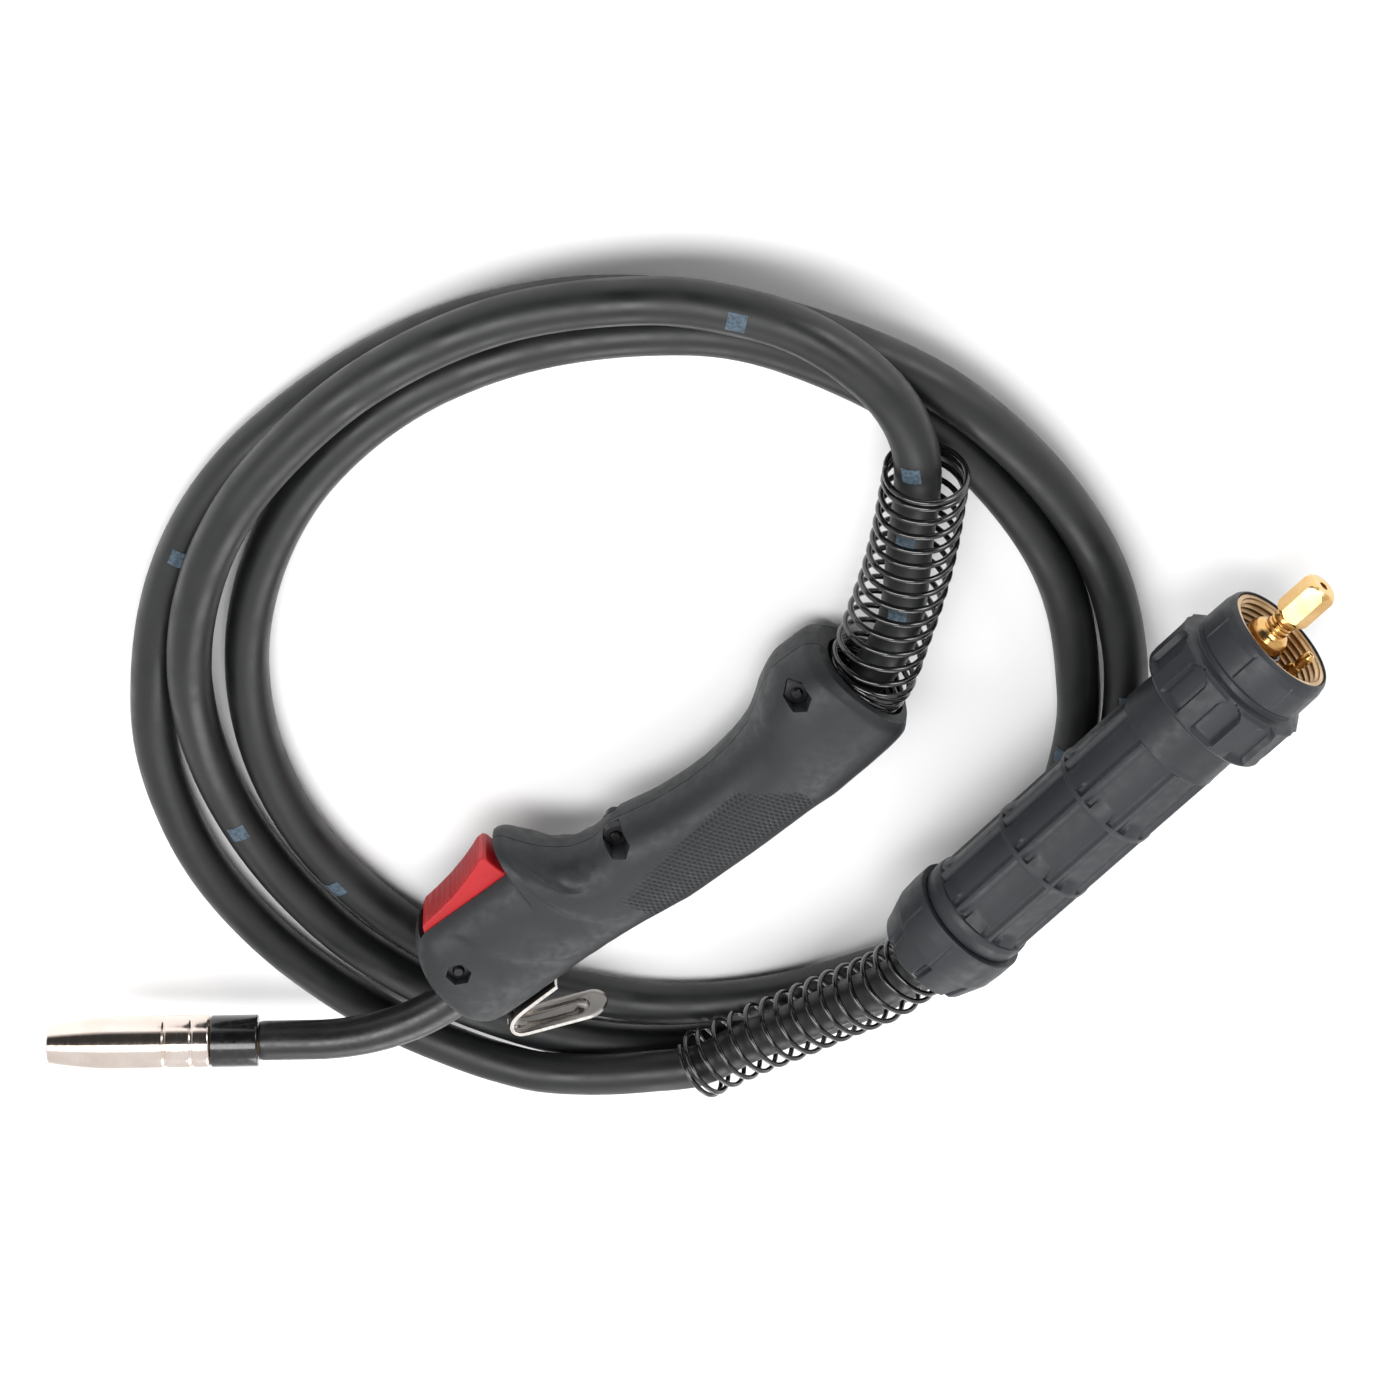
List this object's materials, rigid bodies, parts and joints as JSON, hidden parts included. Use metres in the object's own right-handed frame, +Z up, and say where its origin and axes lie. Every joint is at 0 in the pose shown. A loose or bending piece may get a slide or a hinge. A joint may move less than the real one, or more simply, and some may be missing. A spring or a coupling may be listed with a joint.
{
  "type": "welding torch",
  "caption": "Gas-cooled arc-welding torch with pistol handle, bent neck, push-on gas nozzle, coiled supply cable and a round plug with a screwed coupling nut.",
  "frame": {"origin": "middle of the torch body's bounding box (handle, neck and nozzle, without the cable and its connector), on the surface it lies on", "axes": "+X from the nozzle's side towards the connector's side along the longest extent, +Y towards the far rim of the cable coil, +Z up from the surface"},
  "size_m": [0.3985, 0.346, 0.0633],
  "materials": {
    "handle_plastic": "fine-textured glass-filled nylon, matt",
    "dark_plastic": "moulded nylon, satin",
    "trigger_red": "moulded red plastic, satin",
    "black_plastic": "smooth black plastic",
    "cable_rubber": "smooth black rubber sheath, satin",
    "steel": "plain stainless steel",
    "spring_black": "black-coated spring wire, glossy",
    "nickel": "bright nickel plate",
    "copper": "drawn copper",
    "brass": "turned brass, bright",
    "thread_ring": "dull tan threaded insert"
  },
  "bodies": {
    "torch": {"handle_shell_upper": "handle_plastic", "handle_shell_lower": "handle_plastic", "shell_screw_front": "steel", "shell_screw_middle": "steel", "shell_screw_rear": "steel", "shell_nut_front": "steel", "shell_nut_middle": "steel", "shell_nut_rear": "steel", "trigger_pin": "steel", "microswitch_body": "black_plastic", "hanging_hook": "steel", "hook_screw": "steel", "swan_neck_tube": "nickel", "neck_sleeve": "black_plastic", "neck_nut": "brass", "cable_nipple_handle": "brass", "cable_in_handle": "cable_rubber", "neck_insulator": "black_plastic", "nozzle_spring": "spring_black", "tip_holder": "brass", "contact_tip": "copper", "end_bell": "dark_plastic", "connector_housing": "dark_plastic", "housing_screw": "steel", "plug_flange": "brass", "plug_body": "brass", "liner_nut": "brass", "plug_o_ring": "cable_rubber", "gas_pin": "brass", "pin_sleeve_1": "black_plastic", "pin_sleeve_2": "black_plastic", "cable_nipple_connector": "brass", "pin_wire_1": "black_plastic", "pin_wire_2": "black_plastic", "cable_in_connector": "cable_rubber", "handle_cable_spring": "spring_black", "connector_spring": "spring_black", "cable_coil": "cable_rubber", "cable_lead_handle": "cable_rubber", "cable_lead_connector": "cable_rubber"},
    "trigger": {"trigger": "trigger_red"},
    "switch_button": {"switch_button": "trigger_red"},
    "gas_nozzle": {"gas_nozzle": "nickel"},
    "coupling_nut": {"connector_nut": "dark_plastic", "nut_thread_ring": "thread_ring"},
    "contact_pin_1": {"contact_pin_1": "brass"},
    "contact_pin_2": {"contact_pin_2": "brass"}
  },
  "joints": [
    {"name": "trigger_pull", "type": "hinge", "parent": "torch", "child": "trigger", "pos_m": [-0.0153, -0.06136, 0.03048], "axis": [-0.0493, -0.0443, -0.9978], "range_deg": [0, 5], "stiffness_Nm_per_rad": 0.05, "springref_deg": -5.73},
    {"name": "switch_push", "type": "slide", "parent": "torch", "child": "switch_button", "axis": [0.6678, -0.7443, 0], "range_m": [0, 0.002]},
    {"name": "nozzle_pull", "type": "slide", "parent": "torch", "child": "gas_nozzle", "axis": [-0.9985, 0.0238, 0.0483], "range_m": [0, 0.04]},
    {"name": "nut_spin", "type": "hinge", "parent": "torch", "child": "coupling_nut", "pos_m": [0.22852, 0.04767, 0.04], "axis": [0.6212, 0.7837, 0], "continuous": true},
    {"name": "pin_1_press", "type": "slide", "parent": "torch", "child": "contact_pin_1", "axis": [-0.6212, -0.7837, 0], "range_m": [0, 0.002], "stiffness_N_per_m": 200, "springref_m": -0.001},
    {"name": "pin_2_press", "type": "slide", "parent": "torch", "child": "contact_pin_2", "axis": [-0.6212, -0.7837, 0], "range_m": [0, 0.002], "stiffness_N_per_m": 200, "springref_m": -0.001}
  ],
  "couplings": [
    {"joint": "switch_push", "follows": "trigger_pull", "m_per_rad": 0.021}
  ]
}
